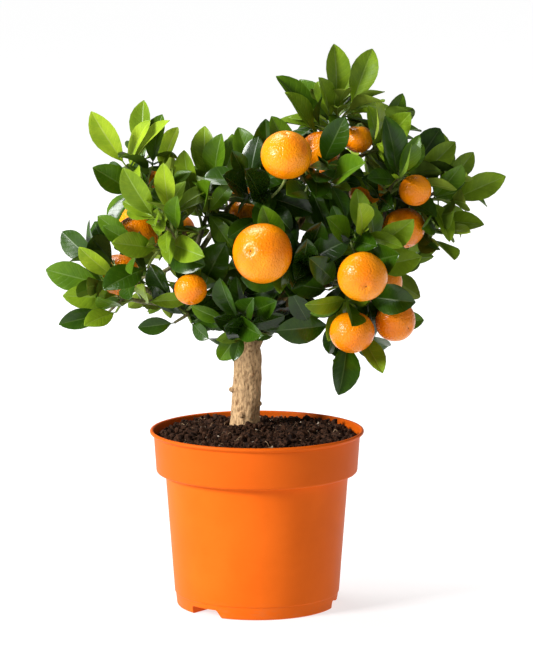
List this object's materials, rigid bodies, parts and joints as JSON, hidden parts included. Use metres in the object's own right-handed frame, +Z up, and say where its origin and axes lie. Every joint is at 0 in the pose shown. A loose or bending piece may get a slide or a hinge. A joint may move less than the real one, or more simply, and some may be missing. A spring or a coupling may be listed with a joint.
{
  "type": "calamondin bonsai",
  "caption": "Small potted citrus tree with a single short trunk, a spreading crown of glossy leaves and ripe round fruit, standing in a round tapered pot with drainage notches.",
  "frame": {"origin": "centre of the pot's flat underside, on the surface it stands on", "axes": "+Z up along the pot axis, -Y towards the front of the plant, +X to the right in the front view"},
  "size_m": [0.3177, 0.2269, 0.3937],
  "materials": {
    "pot": "satin moulded orange polypropylene",
    "soil": "moist dark brown peat and bark compost",
    "bark": "smooth tan bark with fine cracks and small dark pores",
    "bough_bark": "young olive-brown bark",
    "foliage": "glossy citrus leaves, green shoots and ripe orange fruit"
  },
  "bodies": {
    "root": {"pot": "pot", "soil": "soil", "trunk": "bark", "bough_centre": "bough_bark", "bough_left": "bough_bark", "bough_left_low": "bough_bark", "bough_right": "bough_bark", "bough_front": "bough_bark", "bough_back_left": "bough_bark", "bough_back_right": "bough_bark", "bough_left_up": "bough_bark", "bough_top": "bough_bark", "bough_right_up": "bough_bark", "mass_top": "foliage", "mass_top_right": "foliage", "mass_crown_mid": "foliage", "mass_crown_left": "foliage", "mass_left_top": "foliage", "mass_left_shoulder": "foliage", "mass_mid_left": "foliage", "mass_left_mid": "foliage", "mass_far_left": "foliage", "mass_far_left_low": "foliage", "mass_lower_left": "foliage", "mass_lower_front": "foliage", "mass_centre_front": "foliage", "mass_right_top": "foliage", "mass_right_outer": "foliage", "mass_right_low_outer": "foliage", "mass_right_mid": "foliage", "mass_right_front": "foliage", "mass_lower_right": "foliage", "mass_back_left": "foliage", "mass_back_low_left": "foliage", "mass_back_top": "foliage", "mass_back_low": "foliage", "mass_back_right": "foliage", "mass_back_low_right": "foliage"}
  },
  "joints": []
}
